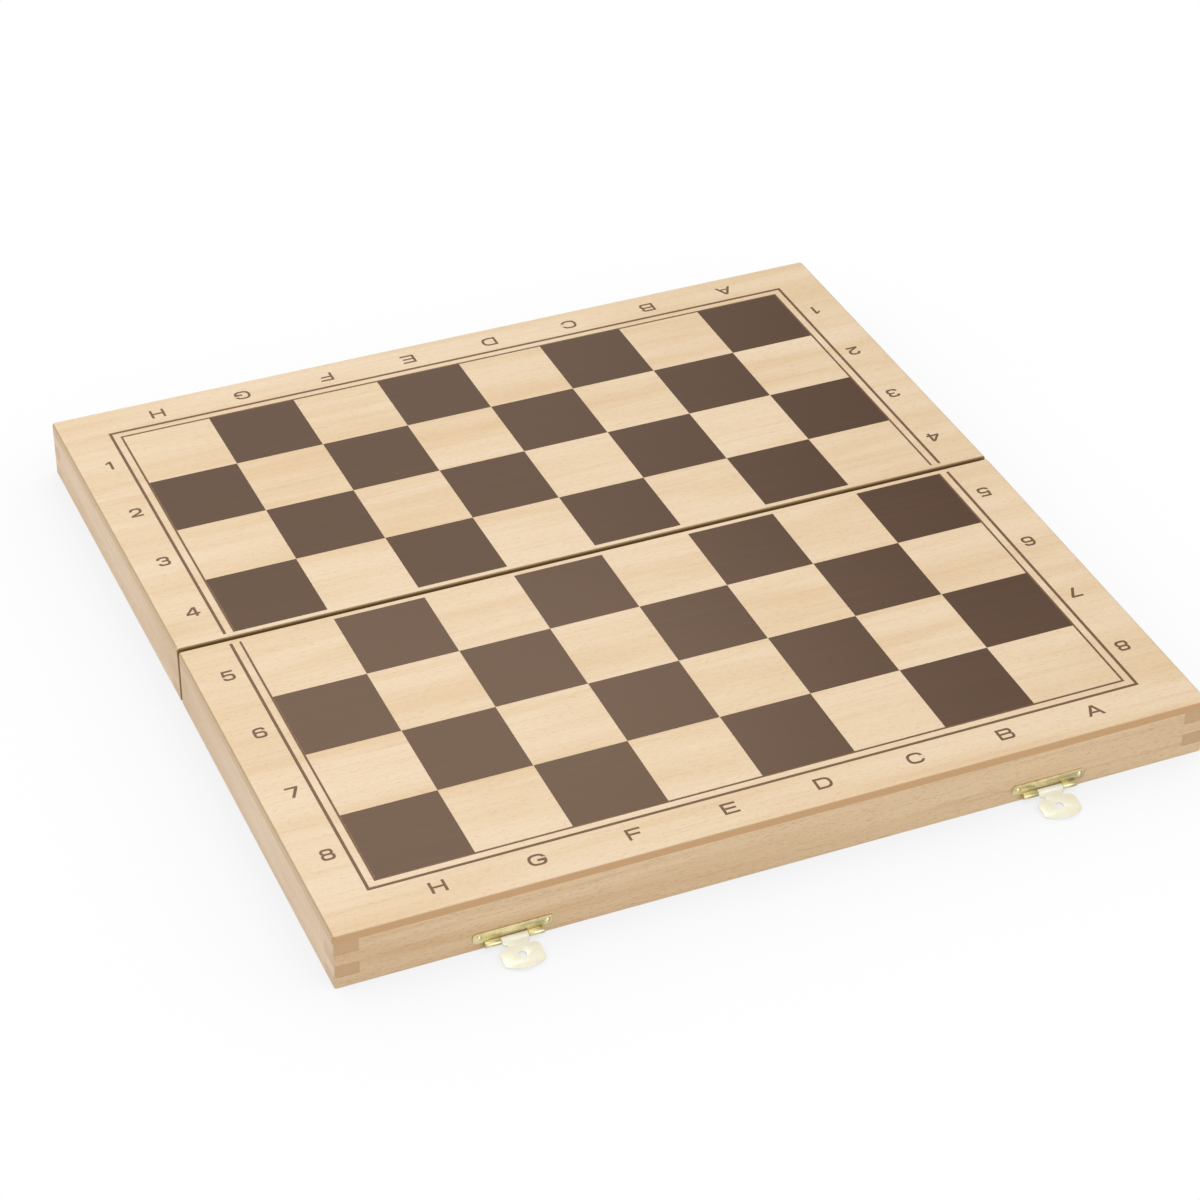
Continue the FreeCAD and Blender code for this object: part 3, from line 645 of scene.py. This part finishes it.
def slottedScrews(half, material):
    # head = rows along the slot, each a chord of the head's circle; the two rows at the slot's foot are
    # sunk and end on the countersunk cone. The rows' outline is carried down the cone to the shank, along
    # it and to a point
    node = half + "_hinge_screws"
    low, high = flatBox(node, half)
    leafLow, leafHigh = flatBox(half + "_right_hinge_leaf", half)
    radius = (high.y - low.y) / 2
    shank = radius * screwLook["shankShare"]
    length = high.z - low.z
    hingeX = (leafLow.x + leafHigh.x) / 2
    offset = high.x - radius - hingeX
    side = np.array(screwLook["rows"])
    foot = side[-1:] * screwLook["slotFoot"]
    u = radius * np.concatenate([-side, -foot, foot, side[::-1]])[:, None]
    sunk = np.zeros_like(u)
    sunk[len(side):-len(side)] = screwLook["slotDepth"]
    t = np.linspace(-1, 1, screwLook["across"])[None]
    head = np.stack(np.broadcast_arrays(u, t * np.sqrt((radius - sunk) ** 2 - u ** 2), sunk), -1)
    number = np.arange(head.shape[0] * head.shape[1]).reshape(head.shape[:2])
    edge = np.concatenate([number[0], number[1:-1, -1], number[-1, ::-1], number[-2:0:-1, 0]])
    angle = np.arctan2(t * np.sqrt(radius ** 2 - u ** 2), u).ravel()[edge]
    around = len(edge)
    rings = [np.column_stack([shank * np.cos(angle), shank * np.sin(angle), np.full(around, z)])
             for z in (radius - shank, length - shank)]
    single = np.vstack([head.reshape(-1, 3), *rings, [(0, 0, length)]])
    loops = [edge, number.size + np.arange(around), number.size + around + np.arange(around)]
    corners = [number[:-1, :-1], number[1:, :-1], number[1:, 1:], number[:-1, 1:]]
    quads = [np.stack(corners, -1).reshape(-1, 4)]
    quads += [np.column_stack([a, np.roll(a, -1), np.roll(b, -1), b]) for a, b in zip(loops, loops[1:])]
    quads = np.vstack(quads)
    cap = np.column_stack([loops[-1], np.roll(loops[-1], -1), np.full(around, len(single) - 1)])
    points, faces = [], []
    places = [sign * hingeX + step for sign in (-1, 1) for step in (-offset, offset)]
    for i, (x, turn) in enumerate(zip(places, screwLook["turns"])):
        c, s = math.cos(turn), math.sin(turn)
        spun = single @ np.array([(c, s, 0), (-s, c, 0), (0, 0, 1)])
        points.append(spun + np.array([x, (low.y + high.y) / 2, low.z]))
        faces += (quads + i * len(single)).tolist() + (cap + i * len(single)).tolist()
    name = half + "_slotted_screws"
    piece = settledPiece(name, half, np.vstack(points), faces, material)
    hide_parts(node)


def dressHardware():
    brass = {kind: brassMaterial(kind + "_brass", *look) for kind, look in brassLook["kinds"].items()}
    for side in ("left", "right"):
        for kind, (body, slot, edge) in formedEdges.items():
            node = side + "_" + kind
            formed(node, body or node, edge, brass["tongue" if kind == "clasp_tongue" else "clasp"])
        for half in ("front", "back"):
            leaf = half + "_" + side + "_hinge_leaf"
            formed(leaf, half + "_half", formLook["leafEdge"], brass["hinge"])
    for half in ("front", "back"):
        slottedScrews(half, brass["fastener"])
    dress(["left_hinge_pin", "right_hinge_pin"], brass["hinge"])
    dress(["left_clasp_pin", "right_clasp_pin"], brass["clasp"])
    dress(["clasp_nails", "catch_nails"], brass["fastener"])
    print("hardware dressed")


studio = {
    "cameraPlace": (-0.45309, -1.05172, 0.83204),
    "cameraTarget": (-0.0128, -0.02484, 0.02654),
    "roll": 0.328,  # degrees
    "lens": 104.7,
    "sensor": 36.0,
    "clipStart": 0.05,
    "sky": 0.63,  # strength of the light from all round
    "warmth": (1.0, 0.955, 0.89, 1),  # tint of the room that gloss shows
    "dimSide": 0.46,  # how much darker that room is on the right
    "sideRange": (0.3, 0.43),  # heading to the right at which that begins, and is full
    "dimLow": 0.33,  # how much darker it is in a band above the horizon
    "lowRange": (0, 0.3),  # rise at which that begins, and is full
    "highRange": (0.565, 0.615),  # and at which it fades, and is gone
    "lamps": {  # place, size across and power
        "key": ((-0.45, 0.25, 1.5), 1.3, 10.2),
        "fill": ((0.45, -1.65, 0.4), 1.2, 5.6),
    },
    "floorHalf": 4.0,
    "floorBounce": 0.8,
    "shadowReach": 0.09,
    "shadowShare": 0.22,
    "shadowTone": (0.02, 0.02, 0.022, 1),
    "shadowSamples": 16,
}


def addCamera():
    data = bpy.data.cameras.new("camera")
    data.lens = studio["lens"]
    data.sensor_width = studio["sensor"]
    data.clip_start = studio["clipStart"]
    camera = bpy.data.objects.new("camera", data)
    bpy.context.scene.collection.objects.link(camera)
    place, target = Vector(studio["cameraPlace"]), Vector(studio["cameraTarget"])
    turn = (target - place).to_track_quat("-Z", "Y").to_matrix()
    roll = Matrix.Rotation(math.radians(studio["roll"]), 3, "Z")
    camera.matrix_world = Matrix.Translation(place) @ (turn @ roll).to_4x4()
    bpy.context.scene.camera = camera


def addFloor():
    # a pale sheet that light bounces off; to the camera it is clear, over the white background,
    # and only greys, as a painted shadow from ambient occlusion, where the object stands close above it
    half = studio["floorHalf"]
    mesh = bpy.data.meshes.new("floor")
    corners = [(-half, -half, 0), (half, -half, 0), (half, half, 0), (-half, half, 0)]
    mesh.from_pydata(corners, [], [(0, 1, 2, 3)])
    material = bpy.data.materials.new("pale_floor")
    material.use_nodes = True
    material.node_tree.nodes.clear()
    start = Wire(material.node_tree)
    rays = start.node("LightPath").socket.node.outputs
    seen = Wire(start.tree, rays["Is Camera Ray"])
    for name in ("Is Glossy Ray", "Is Transmission Ray"):
        seen = seen.atLeast(Wire(start.tree, rays[name]))
    below = start.node("NewGeometry", None, None, "Backfacing")
    samples, reach = {"samples": studio["shadowSamples"]}, {"Distance": studio["shadowReach"]}
    openness = start.node("AmbientOcclusion", samples, reach, "AO")
    clear = start.node("BsdfTransparent")
    bounce = start.node("BsdfDiffuse", None, {"Color": (studio["floorBounce"],) * 3 + (1,)})
    dark = start.node("BsdfDiffuse", None, {"Color": studio["shadowTone"]})
    shaded = start.node("MixShader", None, {0: (1 - openness) * studio["shadowShare"], 1: clear, 2: dark})
    sheet = start.node("MixShader", None, {0: seen, 1: bounce, 2: shaded})
    sheet = start.node("MixShader", None, {0: below, 1: sheet, 2: clear})
    start.node("OutputMaterial", None, {"Surface": sheet})
    mesh.materials.append(material)
    floor = bpy.data.objects.new("floor", mesh)
    bpy.context.scene.collection.objects.link(floor)


def addLight():
    # plain white to the camera; gloss sees a slightly warm room, darker to the right and in a band
    # above the horizon
    world = bpy.data.worlds.new("studio")
    bpy.context.scene.world = world
    world.use_nodes = True
    world.node_tree.nodes.clear()
    start = Wire(world.node_tree)
    rays = start.node("LightPath").socket.node.outputs
    kinds = ("Camera", "Glossy", "Transmission")
    camera, glossy, through = [Wire(start.tree, rays["Is " + kind + " Ray"]) for kind in kinds]
    mirrored = glossy.atLeast(through)
    heading, _, rise = start.node("TexCoord", None, None, "Generated").axes()
    room = 1 - heading.rising(*studio["sideRange"]) * studio["dimSide"]
    band = rise.rising(*studio["lowRange"]) * (1 - rise.rising(*studio["highRange"]))
    room = room * (1 - band * studio["dimLow"])
    strength = camera + (1 - camera) * (mirrored * room + (1 - mirrored) * studio["sky"])
    colour = start.blend(mirrored * (1 - camera), (1, 1, 1, 1), studio["warmth"])
    shine = start.node("Background", None, {"Color": colour, "Strength": strength})
    start.node("OutputWorld", None, {"Surface": shine})
    for name, (place, size, power) in studio["lamps"].items():
        data = bpy.data.lights.new(name, "AREA")
        data.shape = "DISK"
        data.size = size
        data.energy = power
        lamp = bpy.data.objects.new(name, data)
        bpy.context.scene.collection.objects.link(lamp)
        lamp.location = place
        lamp.rotation_euler = (-Vector(place)).to_track_quat("-Z", "Y").to_euler()
    bpy.context.scene.view_settings.view_transform = "Standard"


addCamera()
addFloor()
addLight()
print("studio set")
dressWood()
inks = dressPrint()
printBoard(inks)
dressHardware()
